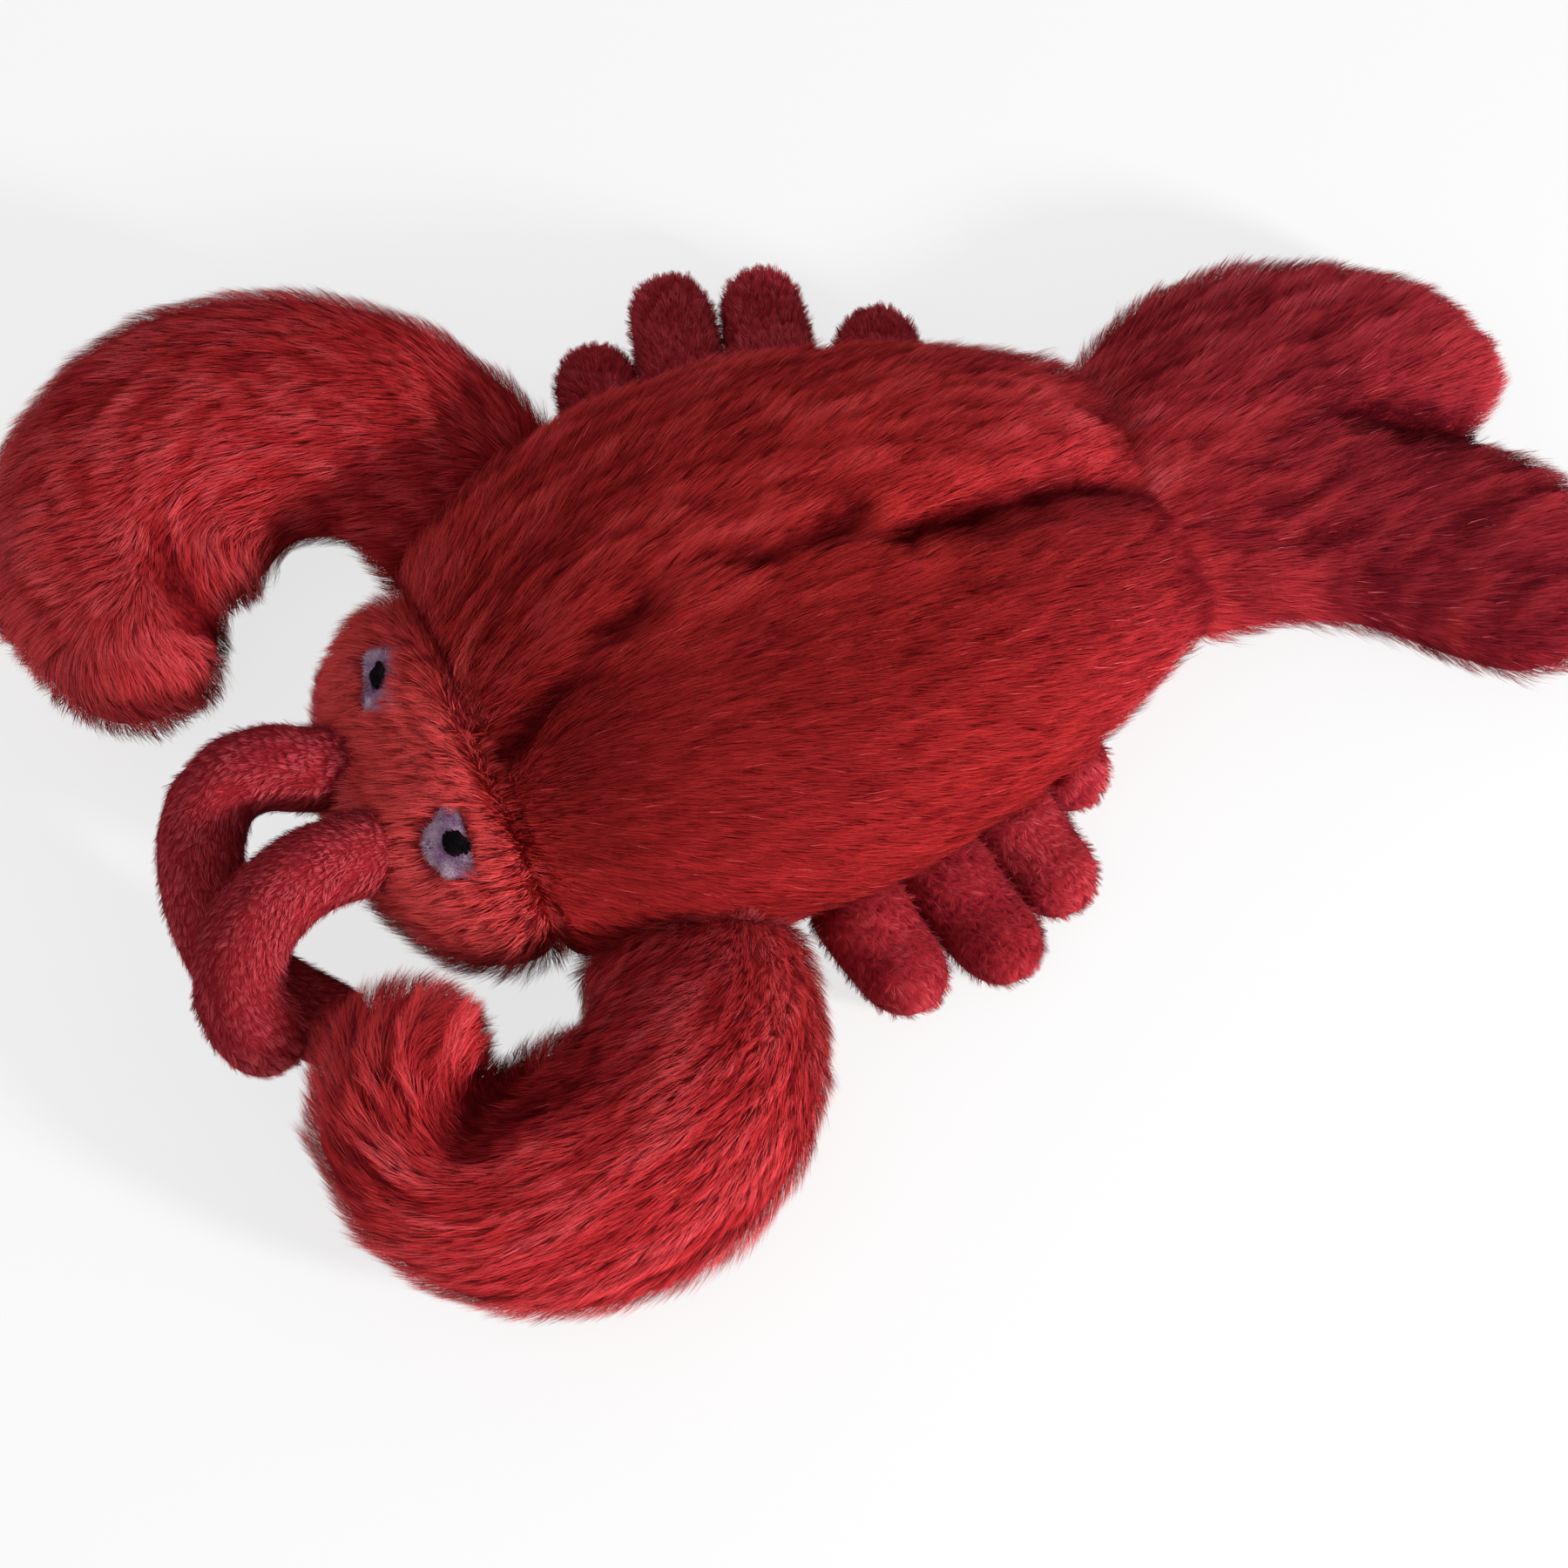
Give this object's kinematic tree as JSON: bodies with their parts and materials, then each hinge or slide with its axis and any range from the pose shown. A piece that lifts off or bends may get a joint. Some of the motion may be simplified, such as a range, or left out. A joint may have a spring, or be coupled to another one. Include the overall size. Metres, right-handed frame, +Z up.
{
  "type": "plush lobster dog toy",
  "caption": "Stuffed plush lobster for a dog: long-pile back, head, claws and fan tail, short-pile belly, legs and antennae, felt eyes.",
  "frame": {"origin": "middle of the flat belly face, on the surface the toy rests on", "axes": "+Y toward the tail, -Y toward the head, +X the lobster's left side, +Z up"},
  "size_m": [0.2839, 0.3646, 0.0622],
  "materials": {
    "long_pile_fur": "long combed faux fur, deep red with a silky sheen",
    "short_pile_plush": "short dense plush in fine rows, darker matt red",
    "eye_felt": "matt off-white felt with a lilac tint",
    "pupil_thread": "black embroidery thread"
  },
  "bodies": {
    "root": {"back_cover": "long_pile_fur", "head": "long_pile_fur", "tail_fan": "long_pile_fur", "claw_left": "long_pile_fur", "claw_right": "long_pile_fur", "belly_panel": "short_pile_plush", "antenna_left": "short_pile_plush", "antenna_right": "short_pile_plush", "leg_left_1": "short_pile_plush", "leg_left_2": "short_pile_plush", "leg_left_3": "short_pile_plush", "leg_left_4": "short_pile_plush", "leg_right_1": "short_pile_plush", "leg_right_2": "short_pile_plush", "leg_right_3": "short_pile_plush", "leg_right_4": "short_pile_plush", "eye_patch_left": "eye_felt", "eye_patch_right": "eye_felt", "pupil_left": "pupil_thread", "pupil_right": "pupil_thread"}
  },
  "joints": []
}
